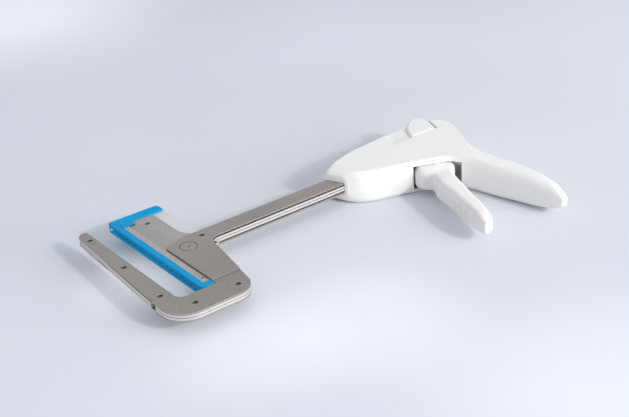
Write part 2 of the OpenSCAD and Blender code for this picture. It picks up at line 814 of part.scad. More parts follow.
far_line = smooth(place(far_shares));
near_line = smooth(place(near_shares));
height_line = [for (h = smooth(height_shares)) h * half_t];
edge_line = [for (e = smooth(edge_shares)) e * half_t];

module handle_form() {
  loft(far_line, near_line, height_line, edge_line);
}

module handle_hollow() {
  loft(
    flatten_end(inset(far_line, near_line, wall_t), 1),
    flatten_end(inset(near_line, far_line, wall_t), 1),
    [for (i = [1:len(height_line) - 2]) height_line[i] - wall_t],
    [for (i = [1:len(edge_line) - 2]) edge_line[i] - wall_t / 2]);
}

// Screws as [place along, place across, share of the full height]
screw_shares = [[0.21, 0.102, 1], [0.21, -0.118, 1], [0.46, 0.115, 1], [0.79, -0.42, 0.96],
  [0.845, -0.92, 0.82]];
screw_r = 1.2;
screw_head_r = 2.4;
screw_head_h = 1.8;
screw_up = 6;
screw_boss_r = 3.2;
boss_sink = 0.5;
pivot_boss_r = 5;
shaft_boss_r = 3.6;
head_gap = 0.2;
head_depth = 1.2;

// Wall under the knob's grooves
groove_bed = 1.2;
groove_from = nose_x + knob_front_shares[0].x * handle_l - pin_travel - wall_t;
groove_to = nose_x + knob_back_shares[0].x * handle_l + wall_t;

// Trigger's opening in the near side and the grip's root
slot_before = 15;
slot_front = pivot_x - slot_before;
slot_behind = 12.5;
slot_back = pivot_x + slot_behind;
slot_low = 0.41 * handle_l;
slot_up = 12;
slot_h = trigger_h + end_gap;

// Release button at the handle's back, a dome that slides in a straight opening
button_place = [nose_x + 0.91 * handle_l, 0.03 * handle_l];
button_turn = 20;
// Its stations outwards as [place, near edge, far edge, half height, edge radius]
button_rows = [[0, -13.2, 10.4, 7.8, 2.4], [5, -12.4, 10.4, 7.8, 2.6], [8.5, -9, 10.3, 7.7, 3],
  [12, -5.4, 9.8, 7.2, 3.4],
  [15, -2.2, 8.7, 6.2, 3.6], [17, 0.4, 7.2, 4.6, 3], [18, 2.6, 5.6, 2.8, 2]];
button_depth = 4;
button_gap = 0.35;
button_cap_wall = 1.8;

module on_release() {
  translate([button_place.x, button_place.y, 0]) rotate([0, 0, button_turn]) children();
}

module shell_half() {
  difference() {
    union() {
      difference() {
        intersection() {
          handle_form();
          block([nose_x - over, -2 * handle_l, 0], [nose_x + 2 * handle_l, handle_l, lie_z]);
        }
        handle_hollow();
      }
      intersection() {
        handle_form();
        block([groove_from, knob_foot - wall_t, lie_z - groove_depth - groove_bed],
          [groove_to, knob_reach, lie_z - groove_depth]);
      }
      for (s = screw_shares)
        post(nose_x + s.x * handle_l, s.y * handle_l, screw_boss_r, 0, s.z * half_t - wall_t + boss_sink);
      post(pivot_x, pivot_y, pivot_boss_r, trigger_h + boss_gap, half_t - wall_t + boss_sink);
      for (x = pin_places) post(x, 0, shaft_boss_r, plate_out + slide_gap, half_t - wall_t + boss_sink / 2);
    }
    block([nose_x - over, -shaft_h - slide_gap, -over],
      [shaft_end, shaft_h + slide_gap, plate_out + slide_gap]);
    knob_groove();
    block([slot_front, -slot_low, -over], [slot_back, -slot_up, slot_h]);
    block([neck_x - pin_travel - end_gap, 0, -over],
      [slider_x + slider_d + end_gap, knob_seat + over, slider_h + 3 * slide_gap]);
    on_release() sheet(outline([
      [-button_depth - release_travel, button_rows[0][1] - button_gap, small_r],
      [2 * handle_l, button_rows[0][1] - button_gap, 0],
      [2 * handle_l, button_rows[0][2] + button_gap, 0],
      [-button_depth - release_travel, button_rows[0][2] + button_gap, small_r]
    ]), -over, button_rows[0][3] + button_gap);
    post(pivot_x, pivot_y, pivot_r + bore_gap / 2, 0, lie_z - wall_t / 2);
    for (x = pin_places) post(x, 0, rivet_r + bore_gap / 2, 0, lie_z - wall_t);
  }
}

module handle_shell_upper() {
  color(white) difference() {
    shell_half();
    for (s = screw_shares)
      post(nose_x + s.x * handle_l, s.y * handle_l, screw_r + bore_gap / 2, -over, screw_up + end_gap);
  }
}

module handle_shell_lower() {
  color(white) difference() {
    mirror([0, 0, 1]) shell_half();
    for (s = screw_shares) {
      post(nose_x + s.x * handle_l, s.y * handle_l, screw_r + bore_gap, -lie_z - over, over);
      post(nose_x + s.x * handle_l, s.y * handle_l, screw_head_r + head_gap,
        -lie_z - over, -s.z * half_t + head_depth + screw_head_h);
    }
    post(pawl_place.x, pawl_place.y, pawl_pin_r + bore_gap / 2, -lie_z + wall_t, 0);
  }
}

module shell_screws() {
  color(bright_steel)
    for (s = screw_shares) {
      post(nose_x + s.x * handle_l, s.y * handle_l, screw_r, -s.z * half_t + head_depth, screw_up);
      post(nose_x + s.x * handle_l, s.y * handle_l, screw_head_r,
        -s.z * half_t + head_depth, -s.z * half_t + head_depth + screw_head_h);
    }
}

module shaft_pins() {
  color(bright_steel)
    for (x = pin_places) post(x, 0, rivet_r, -lie_z + wall_t + slide_gap, lie_z - wall_t - slide_gap);
}

// Trigger

// Shares of the handle's length from the trigger's pivot
trigger_front_shares = [[-0.13, 0.03], [-0.147, -0.01], [-0.142, -0.06], [-0.115, -0.12], [-0.158, -0.195],
  [-0.19, -0.31], [-0.225, -0.45], [-0.265, -0.59], [-0.295, -0.69], [-0.3, -0.745]];
trigger_back_shares = [[0.1, 0.01], [0.112, -0.05], [0.085, -0.1], [0.03, -0.15], [-0.015, -0.215],
  [-0.06, -0.33], [-0.11, -0.455], [-0.16, -0.59], [-0.205, -0.695], [-0.24, -0.742]];
trigger_height_shares = [0.96, 0.97, 0.93, 0.84, 0.98, 0.98, 0.95, 0.92, 0.82, 0.5];
function trigger_place(shares) = [for (s = shares) [pivot_x + s.x * handle_l, pivot_y + s.y * handle_l]];
rib_first_share = 0.64;
rib_step_share = 0.027;
rib_h = 0.62 * trigger_h;

trigger_front = smooth(trigger_place(trigger_front_shares));
trigger_back = smooth(trigger_place(trigger_back_shares));
trigger_edge_share = 0.55;

// Point of the trigger's front edge at a share of its length
function front_at(t) =
  let (n = len(trigger_front) - 1, i = floor(t * n), f = t * n - i)
  trigger_front[i] * (1 - f) + trigger_front[min(i + 1, n)] * f;

cheek_wall = 2;
cheek_r = drive_r + cheek_wall;
spring_room_r = 4.8;
spring_room_h = 3.2;
module trigger() {
  color(white) difference() {
    union() {
      loft(trigger_back, trigger_front, [for (h = smooth(trigger_height_shares)) h * trigger_h],
        [for (h = smooth(trigger_height_shares)) h * trigger_h * trigger_edge_share]);
      post(pivot_x, pivot_y, hub_r, -trigger_h, trigger_h);
      mirror_z() sheet(outline([
        [pivot_x - hub_r * 0.8, pivot_y, 0],
        [drive_x - cheek_r, drive_y, 0],
        [drive_x - cheek_r, drive_y + cheek_r, cheek_r * 0.7],
        [drive_x + cheek_r, drive_y + cheek_r, cheek_r * 0.7],
        [drive_x + cheek_r, drive_y, 0],
        [pivot_x + hub_r * 0.9, pivot_y, 0]
      ]), trigger_h - cheek_t, trigger_h);
      for (k = [0:rib_count - 1])
        let (p = front_at(rib_first_share + k * rib_step_share))
        post(p.x, p.y, rib_r, -rib_h, rib_h);
    }
    post(pivot_x, pivot_y, pivot_r + bore_gap, -lie_z, lie_z);
    post(drive_x, drive_y, drive_r + bore_gap / 2, -lie_z, lie_z);
    post(pivot_x, pivot_y, spring_room_r, -spring_room_h, spring_room_h);
    block([pivot_x - spring_room_r, pivot_y, -spring_room_h],
      [pivot_x + spring_room_r, pivot_y + 2 * hub_r, spring_room_h]);
  }
}

module trigger_pivot_pin() {
  color(bright_steel) post(pivot_x, pivot_y, pivot_r, -lie_z + wall_t, lie_z - wall_t);
}

module drive_pins() {
  color(bright_steel) mirror_z() post(drive_x, drive_y, drive_r, stub_in + slide_gap, trigger_h);
}

// Coil springs: one unbroken tube each, wound along Z from its foot

coil_rings = 8;
coil_sides = 6;
module coil(r, wire_r, length, curls) {
  count = curls * coil_rings;
  function centre(i) =
    [r * cos(360 * i / coil_rings), r * sin(360 * i / coil_rings),
      wire_r + (length - 2 * wire_r) * i / count];
  function wire(i) =
    let (u = [cos(360 * i / coil_rings), sin(360 * i / coil_rings), 0])
    [for (k = [0:coil_sides - 1])
      centre(i) + wire_r * (u * cos(360 * k / coil_sides) + [0, 0, 1] * sin(360 * k / coil_sides))];
  polyhedron(
    points = [for (i = [0:count]) each wire(i)],
    faces = concat(
      [[for (k = [0:coil_sides - 1]) k]],
      [for (i = [0:count - 1], k = [0:coil_sides - 1])
        let (n = (k + 1) % coil_sides, p = i * coil_sides, q = p + coil_sides)
        each [[p + k, q + k, q + n], [p + k, q + n, p + n]]],
      [[for (k = [coil_sides - 1:-1:0]) count * coil_sides + k]]
    ));
}

trigger_spring_r = 3.3;
trigger_wire_r = 0.45;
trigger_curls = 5;
module trigger_spring() {
  color(bright_steel)
    translate([pivot_x, pivot_y, slide_gap - spring_room_h])
      coil(trigger_spring_r, trigger_wire_r, 2 * (spring_room_h - slide_gap), trigger_curls);
}

// Release button, its stem and the pawl that it lifts

stem_h = 2.8;
stem_z = -1.8;
stem_w = 3;
stem_l = 13;
module release_button() {
  color(white) difference() {
    on_release() {
      loft(
        [for (row = button_rows) [row[0], row[2]]],
        [for (row = button_rows) [row[0], row[1]]],
        [for (row = button_rows) row[3]],
        [for (row = button_rows) row[4]]);
      sheet(outline([
        [-button_depth, button_rows[0][1], small_r],
        [over, button_rows[0][1], 0],
        [over, button_rows[0][2], 0],
        [-button_depth, button_rows[0][2], small_r]
      ]), button_rows[0][4] - button_rows[0][3], button_rows[0][3] - button_rows[0][4]);
    }
    on_release() block(
      [-button_depth - over, button_rows[0][1] + button_cap_wall, button_cap_wall - button_rows[0][3]],
      [button_depth, button_rows[0][2] - button_cap_wall, button_rows[0][3] - button_cap_wall]);
    block([nose_x, 0, -slider_h - 3 * slide_gap],
      [slider_x + slider_d + release_travel + end_gap, handle_l, slider_h + 3 * slide_gap]);
  }
}

module release_stem() {
  color(white) on_release()
    block([button_depth - stem_l, -stem_w / 2, stem_z - stem_h], [button_depth, stem_w / 2, stem_z]);
}

pawl_place = [nose_x + 0.82 * handle_l, -0.16 * handle_l];
pawl_pin_r = 1.5;
pawl_hub_r = 3;
pawl_l = 11;
pawl_tail_l = 16.5;
pawl_tail_w = 1.8;

module latch_pawl() {
  color(bright_steel) difference() {
    union() {
      post(pawl_place.x, pawl_place.y, pawl_hub_r, stem_z - stem_h, stem_z);
      sheet([
        [pawl_place.x - pawl_l, pawl_place.y + pawl_hub_r * 2],
        [pawl_place.x - pawl_l * 0.8, pawl_place.y + pawl_hub_r * 2],
        [pawl_place.x, pawl_place.y + pawl_hub_r * 0.9],
        [pawl_place.x, pawl_place.y - pawl_hub_r * 0.9],
        [pawl_place.x - pawl_l, pawl_place.y + pawl_hub_r]
      ], stem_z - stem_h, stem_z);
      block([pawl_place.x - slide_gap - pawl_tail_w, pawl_place.y, stem_z - stem_h],
        [pawl_place.x - slide_gap, pawl_place.y + pawl_tail_l, stem_z]);
    }
    post(pawl_place.x, pawl_place.y, pawl_pin_r + bore_gap, -lie_z, lie_z);
  }
}

pawl_spring_r = 2.2;
pawl_wire_r = 0.3;
pawl_spring_l = 3;
pawl_curls = 4;
module pawl_spring() {
  color(bright_steel)
    translate([pawl_place.x, pawl_place.y, stem_z - stem_h - 2 * slide_gap - pawl_spring_l])
      coil(pawl_spring_r, pawl_wire_r, pawl_spring_l, pawl_curls);
}

module pawl_pin() {
  color(bright_steel) post(pawl_place.x, pawl_place.y, pawl_pin_r, -lie_z + wall_t + slide_gap, 0);
}

frame_plate_upper();
frame_plate_lower();
core_lamination_upper();
core_lamination_lower();
far_rail_upper();
far_rail_lower();
anvil_bar();
arm_backing_strip();
frame_rivets();
rail_washers();
cartridge_body();
staples();
staple_driver();
holder_plate_upper();
holder_plate_lower();
holder_rivets();
closing_yoke();
yoke_rivets();
pusher_bar();
retaining_pin();
pin_link();
pin_strip();
pin_slider();
pin_knob();
handle_shell_upper();
handle_shell_lower();
shell_screws();
shaft_pins();
trigger();
trigger_pivot_pin();
drive_pins();
trigger_spring();
release_button();
release_stem();
pawl_spring();
latch_pawl();
pawl_pin();
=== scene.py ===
"""Linear surgical stapler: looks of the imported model, its stage, lights and camera."""

import math

import bpy
from bpy.props import FloatProperty, FloatVectorProperty, IntProperty, PointerProperty
from mathutils import Matrix, Vector


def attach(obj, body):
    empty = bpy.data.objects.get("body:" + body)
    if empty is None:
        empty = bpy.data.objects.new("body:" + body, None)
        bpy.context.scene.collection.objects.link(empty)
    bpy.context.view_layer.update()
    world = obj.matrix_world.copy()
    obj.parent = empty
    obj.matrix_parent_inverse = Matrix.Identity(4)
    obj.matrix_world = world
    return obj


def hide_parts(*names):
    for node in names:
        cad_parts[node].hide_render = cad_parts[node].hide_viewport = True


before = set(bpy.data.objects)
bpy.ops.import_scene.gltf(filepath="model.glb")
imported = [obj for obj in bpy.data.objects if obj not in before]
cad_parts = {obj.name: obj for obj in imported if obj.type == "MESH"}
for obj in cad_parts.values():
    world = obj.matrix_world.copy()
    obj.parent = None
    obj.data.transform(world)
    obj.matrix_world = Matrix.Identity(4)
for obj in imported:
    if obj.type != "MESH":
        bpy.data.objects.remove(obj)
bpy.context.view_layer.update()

bl_info = {
    "name": "Linear Surgical Stapler",
    "version": (1, 0, 0),
    "blender": (4, 5, 0),
    "location": "3D View > Sidebar > Stapler",
    "description": "Dresses the packed stapler and sets its stage",
    "category": "Object",
}

MM = 0.001
# Centre of the ring stamped into the upper frame plate
STAMP_PLACE = (33 * MM, -6 * MM, 0)
# Height of the joint between a core lamination and its outer plate
LAMINATION = 1.7 * MM
# Scratches per metre along the shaft, across it and through the sheet
FINE_GRAIN = (45, 2600, 2600)
BROAD_GRAIN = (14, 420, 420)
# Cycles per metre of the slow change of tone
STEEL_SMUDGE = 22.0
PLASTIC_SMUDGE = 18.0
# Edges of the mouldings and of the pin, as shares of the moulded edge
CARTRIDGE_EDGE = 0.6
LINK_EDGE = 0.4
SHELL_EDGE = 0.4
PIN_EDGE = 0.3
# Turns of the surface, in degrees, above which an edge is a corner
SHEET_CORNER = 35
MOULDED_CORNER = 50
# A rivet's rim as a multiple of the sheet's edge, and the holder's dishes as a share of the frame's
RIVET_RIM = 2
HOLDER_DISH = 0.5
# Grain and smoothing passes of the knob's soft shape
KNOB_GRAIN = 0.3 * MM
KNOB_PASSES = 14


# Properties


class StaplerSizes(bpy.types.PropertyGroup):
    """Sizes that a user would change."""

    sheet_edge: FloatProperty(
        name="Sheet edge", description="Width of the broken edge of stamped sheets",
        default=0.12 * MM, min=0.02 * MM, max=0.2 * MM, subtype="DISTANCE", unit="LENGTH")
    moulded_edge: FloatProperty(
        name="Moulded edge", description="Width of the rounded edge of small moulded parts",
        default=0.3 * MM, min=0.05 * MM, max=0.6 * MM, subtype="DISTANCE", unit="LENGTH")
    lamination_edge: FloatProperty(
        name="Lamination edge", description="Width of the seam's chamfer along each lamination",
        default=0.3 * MM, min=0.05 * MM, max=0.4 * MM, subtype="DISTANCE", unit="LENGTH")
    edge_steps: IntProperty(
        name="Edge steps", description="Segments in each rounded edge", default=2, min=1, max=4)
    dimple_depth: FloatProperty(
        name="Dimple depth", description="Depth of the dish in each rivet's head",
        default=0.35 * MM, min=0.05 * MM, max=0.4 * MM, subtype="DISTANCE", unit="LENGTH")
    lens: FloatProperty(
        name="Lens", description="Focal length of the camera", default=68.68, min=20, max=200,
        subtype="DISTANCE_CAMERA")


class StaplerFinishes(bpy.types.PropertyGroup):
    """Colours and finishes that a user would change."""

    frame_steel: FloatVectorProperty(
        name="Frame steel", description="Colour of the brushed outer plates", subtype="COLOR",
        size=4, min=0, max=1, default=(0.43, 0.392, 0.364, 1))
    holder_steel: FloatVectorProperty(
        name="Holder steel", description="Colour of the sliding holder", subtype="COLOR",
        size=4, min=0, max=1, default=(0.53, 0.51, 0.49, 1))
    bright_steel: FloatVectorProperty(
        name="Bright steel", description="Colour of machined and sheared steel", subtype="COLOR",
        size=4, min=0, max=1, default=(0.78, 0.745, 0.73, 1))
    blue: FloatVectorProperty(
        name="Blue", description="Colour of the cartridge", subtype="COLOR",
        size=4, min=0, max=1, default=(0.0, 0.33, 0.66, 1))
    white: FloatVectorProperty(
        name="White", description="Colour of the moulded handle", subtype="COLOR",
        size=4, min=0, max=1, default=(0.9, 0.885, 0.865, 1))
    milky: FloatVectorProperty(
        name="Milky", description="Colour of the translucent link", subtype="COLOR",
        size=4, min=0, max=1, default=(0.80, 0.80, 0.82, 1))
    floor: FloatVectorProperty(
        name="Floor", description="Colour of the studio floor", subtype="COLOR",
        size=4, min=0, max=1, default=(0.74, 0.765, 0.815, 1))
    brush: FloatProperty(
        name="Brush", description="Strength of the brushed grain", default=0.5, min=0, max=1)


def sizes():
    return bpy.context.scene.stapler_sizes


def finishes():
    return bpy.context.scene.stapler_finishes


# Shader groups


class Tree:
    """A node tree that is laid out from left to right as it is written."""

    def __init__(self, tree):
        self.tree = tree
        self.column = 0

    def add(self, kind, values=(), **settings):
        node = self.tree.nodes.new(kind)
        self.column += 1
        node.location = (self.column * 190, 0)
        for name, value in settings.items():
            setattr(node, name, value)
        for name, value in dict(values).items():
            node.inputs[name].default_value = value
        return node

    def join(self, out, into):
        self.tree.links.new(out, into)

    def feed(self, value, socket):
        """Joins an output to a socket, or sets the socket to a constant."""
        if hasattr(value, "is_output"):
            self.join(value, socket)
        else:
            socket.default_value = value

    def math(self, operation, a, b=0.5, clamp=False):
        node = self.add("ShaderNodeMath", operation=operation, use_clamp=clamp)
        for i, v in enumerate((a, b)):
            self.feed(v, node.inputs[i])
        return node.outputs[0]

    def span(self, value, low, high, to_low=0.0, to_high=1.0):
        node = self.add("ShaderNodeMapRange", {
            "From Min": low, "From Max": high, "To Min": to_low, "To Max": to_high})
        self.join(value, node.inputs["Value"])
        return node.outputs["Result"]

    def noise(self, vector, scale, detail=2.0, rough=0.5, stretch=None):
        if stretch is not None:
            mapping = self.add("ShaderNodeMapping", {"Scale": stretch})
            self.join(vector, mapping.inputs["Vector"])
            vector = mapping.outputs[0]
        node = self.add("ShaderNodeTexNoise", {"Scale": scale, "Detail": detail, "Roughness": rough})
        self.join(vector, node.inputs["Vector"])
        return node.outputs["Fac"]

    def mix(self, factor, a, b):
        node = self.add("ShaderNodeMix", data_type="RGBA")
        for name, v in (("Factor", factor), ("A", a), ("B", b)):
            self.feed(v, [s for s in node.inputs if s.name == name and s.enabled][0])
        return [s for s in node.outputs if s.enabled][0]


def new_group(name, inputs, outputs):
    """An empty shader group with the sockets given as (name, kind, default)."""
    group = bpy.data.node_groups.new(name, "ShaderNodeTree")
    for label, kind, default in inputs:
        socket = group.interface.new_socket(label, in_out="INPUT", socket_type=kind)
        if default is not None:
            socket.default_value = default
    for label, kind in outputs:
        group.interface.new_socket(label, in_out="OUTPUT", socket_type=kind)
    tree = Tree(group)
    return group, tree, tree.add("NodeGroupInput"), tree.add("NodeGroupOutput")


FLOAT, VECTOR = "NodeSocketFloat", "NodeSocketVector"


def brushed_group():
    """Fine scratches that run one way, as a height and a tone."""
    group, t, given, out = new_group(
        "Brushed grain",
        [("Vector", VECTOR, None), ("Strength", FLOAT, 0.5)],
        [("Height", FLOAT), ("Tone", FLOAT)])
    fine = t.noise(given.outputs["Vector"], 1.0, 3.0, 0.6, FINE_GRAIN)
    broad = t.noise(given.outputs["Vector"], 1.0, 2.0, 0.5, BROAD_GRAIN)
    both = t.math("ADD", t.math("MULTIPLY", fine, 0.45), t.math("MULTIPLY", broad, 0.55))
    t.join(t.math("MULTIPLY", both, given.outputs["Strength"]), out.inputs["Height"])
    t.join(t.span(both, 0.3, 0.7, 0.0, 1.0), out.inputs["Tone"])
    return group


def ring_group():
    """Mask of a stamped ring around a dot, at a given place on a sheet."""
    group, t, given, out = new_group(
        "Stamped ring",
        [("Vector", VECTOR, None), ("Place", VECTOR, None), ("Radius", FLOAT, 5.0 * MM),
         ("Line", FLOAT, 0.3 * MM), ("Dot", FLOAT, 0.9 * MM)],
        [("Mask", FLOAT)])
    offset = t.add("ShaderNodeVectorMath", operation="SUBTRACT")
    t.join(given.outputs["Vector"], offset.inputs[0])
    t.join(given.outputs["Place"], offset.inputs[1])
    flat = t.add("ShaderNodeVectorMath", operation="MULTIPLY")
    t.join(offset.outputs[0], flat.inputs[0])
    flat.inputs[1].default_value = (1, 1, 0)
    length = t.add("ShaderNodeVectorMath", operation="LENGTH")
    t.join(flat.outputs[0], length.inputs[0])
    away = length.outputs["Value"]
    from_ring = t.math("ABSOLUTE", t.math("SUBTRACT", away, given.outputs["Radius"]))
    ring = t.math("LESS_THAN", from_ring, given.outputs["Line"])
    dot = t.math("LESS_THAN", away, given.outputs["Dot"])
    t.join(t.math("MAXIMUM", ring, dot), out.inputs["Mask"])
    return group


def seam_group():
    """Mask of the dark joints between stacked sheets, at given heights above and below the middle."""
    group, t, given, out = new_group(
        "Sheet joint",
        [("Vector", VECTOR, None), ("Level", FLOAT, LAMINATION), ("Line", FLOAT, 0.2 * MM)],
        [("Mask", FLOAT)])
    parts = t.add("ShaderNodeSeparateXYZ")
    t.join(given.outputs["Vector"], parts.inputs[0])
    height = t.math("ABSOLUTE", parts.outputs["Z"])
    middle = t.math("LESS_THAN", height, given.outputs["Line"])
    outer = t.math("LESS_THAN", t.math("ABSOLUTE", t.math("SUBTRACT", height, given.outputs["Level"])),
                   given.outputs["Line"])
    t.join(t.math("MAXIMUM", middle, outer), out.inputs["Mask"])
    return group


def wear_group():
    """Mask of worn, bright edges from the surface's pointiness."""
    group, t, given, out = new_group(
        "Edge wear",
        [("Vector", VECTOR, None), ("Amount", FLOAT, 0.5)],
        [("Mask", FLOAT)])
    point = t.add("ShaderNodeNewGeometry").outputs["Pointiness"]
    edge = t.span(point, 0.505, 0.56)
    broken = t.span(t.noise(given.outputs["Vector"], 900.0, 3.0, 0.6), 0.35, 0.6)
    mask = t.math("MULTIPLY", edge, broken)
    t.join(t.math("MULTIPLY", mask, given.outputs["Amount"], clamp=True), out.inputs["Mask"])
    return group


def smudge_group():
    """Slow change of tone and gloss, as handling and cleaning leave."""
    group, t, given, out = new_group(
        "Smudge",
        [("Vector", VECTOR, None), ("Scale", FLOAT, 30.0)],
        [("Slow", FLOAT), ("Spots", FLOAT)])
    slow = t.add("ShaderNodeTexNoise", {"Detail": 3.0, "Roughness": 0.55})
    t.join(given.outputs["Vector"], slow.inputs["Vector"])
    t.join(given.outputs["Scale"], slow.inputs["Scale"])
    spots = t.add("ShaderNodeTexNoise", {"Scale": 420.0, "Detail": 2.0})
    t.join(given.outputs["Vector"], spots.inputs["Vector"])
    t.join(t.span(slow.outputs["Fac"], 0.3, 0.7), out.inputs["Slow"])
    t.join(t.span(spots.outputs["Fac"], 0.55, 0.75), out.inputs["Spots"])
    return group


def moulded_group():
    """Fine spark-eroded grain of a moulding."""
    group, t, given, out = new_group(
        "Moulded grain",
        [("Vector", VECTOR, None), ("Depth", FLOAT, 1.0)],
        [("Height", FLOAT)])
    grain = t.add("ShaderNodeTexVoronoi", {"Scale": 3200.0}, feature="F1")
    t.join(given.outputs["Vector"], grain.inputs["Vector"])
    fine = t.noise(given.outputs["Vector"], 5200.0, 2.0)
    both = t.math("ADD", t.math("MULTIPLY", grain.outputs["Distance"], 0.6), t.math("MULTIPLY", fine, 0.4))
    t.join(t.math("MULTIPLY", both, given.outputs["Depth"]), out.inputs["Height"])
    return group


class Finish:
    """One material under construction, with its Principled BSDF and object coordinates."""

    def __init__(self, name, **constants):
        self.material = bpy.data.materials.new(name)
        self.material.use_nodes = True
        self.t = Tree(self.material.node_tree)
        self.shader = self.material.node_tree.nodes["Principled BSDF"]
        self.shader.location = (2600, 0)
        self.material.node_tree.nodes["Material Output"].location = (2900, 0)
        for label, value in constants.items():
            self.shader.inputs[label.replace("_", " ")].default_value = value
        self.where = self.t.add("ShaderNodeTexCoord").outputs["Object"]

    def group(self, group, **values):
        node = self.t.add("ShaderNodeGroup")
        node.node_tree = group
        for label, value in values.items():
            node.inputs[label].default_value = value
        self.t.join(self.where, node.inputs["Vector"])
        return node.outputs

    def set(self, label, out):
        self.t.join(out, self.shader.inputs[label])

    def bump(self, height, strength, distance):
        node = self.t.add("ShaderNodeBump", {"Strength": strength, "Distance": distance})
        self.t.join(height, node.inputs["Height"])
        self.set("Normal", node.outputs["Normal"])


def tone(colour, factor):
    return tuple(min(1.0, c * factor) for c in colour[:3]) + (1.0,)


def steel(name, colour, groups, rough, brush, wear, stamped=False, stacked=False):
    """Brushed steel: grain along the shaft, brighter worn edges and a slow change of gloss."""
    f = Finish(name, Metallic=1.0, Anisotropic=0.3)
    grain = f.group(groups["brushed"], Strength=brush)
    worn = f.group(groups["wear"], Amount=wear)
    slow = f.group(groups["smudge"], Scale=STEEL_SMUDGE)
    base = f.t.mix(grain["Tone"], tone(colour, 0.97), tone(colour, 1.03))
    base = f.t.mix(f.t.math("MULTIPLY", slow["Slow"], 0.5), base, tone(colour, 0.93))
    base = f.t.mix(worn["Mask"], base, tone(colour, 1.7))
    if stamped:
        ring = f.group(groups["ring"], Place=STAMP_PLACE)
        base = f.t.mix(f.t.math("MULTIPLY", ring["Mask"], 0.6), base, tone(colour, 0.3))
    if stacked:
        joint = f.group(groups["seam"])
        base = f.t.mix(f.t.math("MULTIPLY", joint["Mask"], 0.8), base, tone(colour, 0.2))
    f.set("Base Color", base)
    gloss = f.t.math("ADD", f.t.span(slow["Slow"], 0, 1, rough - 0.03, rough + 0.04),
                     f.t.math("MULTIPLY", grain["Tone"], 0.05))
    f.set("Roughness", gloss)
    f.bump(grain["Height"], 0.08, 0.02 * MM)
    return f.material


def plastic(name, colour, groups, rough, shade, grain=0.4, **constants):
    """Moulded plastic: spark-eroded grain and a faint change of tone."""
    f = Finish(name, **constants)
    slow = f.group(groups["smudge"], Scale=PLASTIC_SMUDGE)
    moulded = f.group(groups["moulded"], Depth=grain)
    worn = f.group(groups["wear"], Amount=0.35)
    base = f.t.mix(f.t.math("MULTIPLY", slow["Slow"], 0.5), colour, tone(colour, shade))
    base = f.t.mix(f.t.math("MULTIPLY", slow["Spots"], 0.06), base, tone(colour, shade * 0.96))
    base = f.t.mix(worn["Mask"], base, tone(colour, 1.05))
    f.set("Base Color", base)
    f.set("Roughness", f.t.span(slow["Slow"], 0, 1, rough - 0.04, rough + 0.07))
    f.bump(moulded["Height"], 0.15, 0.03 * MM)
    return f.material


def make_finishes():
    """Every material of the stapler, under its own name."""
    g = {"brushed": brushed_group(), "wear": wear_group(), "smudge": smudge_group(),
         "moulded": moulded_group(), "ring": ring_group(), "seam": seam_group()}
    c = finishes()
    steel("Frame steel", c.frame_steel, g, 0.5, c.brush, 0.3)
    steel("Stamped steel", c.frame_steel, g, 0.5, c.brush, 0.3, stamped=True)
    steel("Holder steel", c.holder_steel, g, 0.42, c.brush * 0.7, 0.4)
    steel("Bright steel", c.bright_steel, g, 0.52, c.brush * 0.3, 0.12)
    steel("Stacked steel", c.bright_steel, g, 0.52, c.brush * 0.3, 0.12, stacked=True)
    steel("Spring steel", c.bright_steel, g, 0.3, 0.1, 0.3)
    steel("Rivet steel", tone(c.frame_steel, 0.42), g, 0.55, 0.1, 0.3)
    plastic("Cartridge blue", tuple(c.blue), g, 0.55, shade=0.93, Specular_IOR_Level=0.15,
            Subsurface_Weight=0.05, Subsurface_Radius=(0.001, 0.001, 0.002), Subsurface_Scale=0.5)
    plastic("Handle white", tuple(c.white), g, 0.45, shade=0.985,
            Subsurface_Weight=0.1, Subsurface_Radius=(0.002, 0.002, 0.0018), Subsurface_Scale=0.6)
    plastic("Link milky", tuple(c.milky), g, 0.35, grain=0.2, shade=0.97,
            Transmission_Weight=0.2, IOR=1.46)


# Modelling


def only(piece):
    """Makes one object the selected and active one, with nothing else selected."""
    bpy.ops.object.select_all(action="DESELECT")
    piece.select_set(True)
    bpy.context.view_layer.objects.active = piece


def apply(piece, kind, **settings):
    """Adds a modifier with its settings and applies it."""
    only(piece)
    modifier = piece.modifiers.new(kind.title(), kind)
    for name, value in settings.items():
        setattr(modifier, name, value)
    bpy.ops.object.modifier_apply(modifier=modifier.name)


def copy_of(node, name):
    """A free copy of a CAD node's mesh with its loose triangles merged into flat faces."""
    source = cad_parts[node]
    piece = bpy.data.objects.new(name, source.data.copy())
    bpy.context.scene.collection.objects.link(piece)
    only(piece)
    bpy.ops.object.mode_set(mode="EDIT")
    bpy.ops.mesh.select_all(action="SELECT")
    bpy.ops.mesh.remove_doubles(threshold=1e-6)
    bpy.ops.mesh.dissolve_limited(angle_limit=math.radians(0.5))
    bpy.ops.object.mode_set(mode="OBJECT")
    return piece


def finish_piece(piece, finish, body, node, angle=30):
    only(piece)
    bpy.ops.object.shade_smooth_by_angle(angle=math.radians(angle))
    apply(piece, "WEIGHTED_NORMAL", keep_sharp=True)
    piece.data.materials.clear()
    piece.data.materials.append(bpy.data.materials[finish])
    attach(piece, body)
    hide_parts(node)
    return piece


def mark_outer_edges(piece, angle):
    """Gives a bevel weight to every edge that turns outwards by more than an angle."""
    mesh = piece.data
    place = [v.co for v in mesh.vertices]
    sides = {}
    for face in mesh.polygons:
        ring = list(face.vertices)
        for a, b in zip(ring, ring[1:] + ring[:1]):
            inwards = face.normal.cross(place[b] - place[a])
            sides.setdefault((min(a, b), max(a, b)), []).append((face.normal.copy(), inwards))
    weights = mesh.attributes.new("bevel_weight_edge", "FLOAT", "EDGE").data
    for edge in mesh.edges:
        pair = sides.get(edge.key, ())
        if len(pair) == 2 and pair[0][0].dot(pair[1][0]) < math.cos(math.radians(angle)):
            weights[edge.index].value = float(pair[1][0].dot(pair[0][1]) < 0)


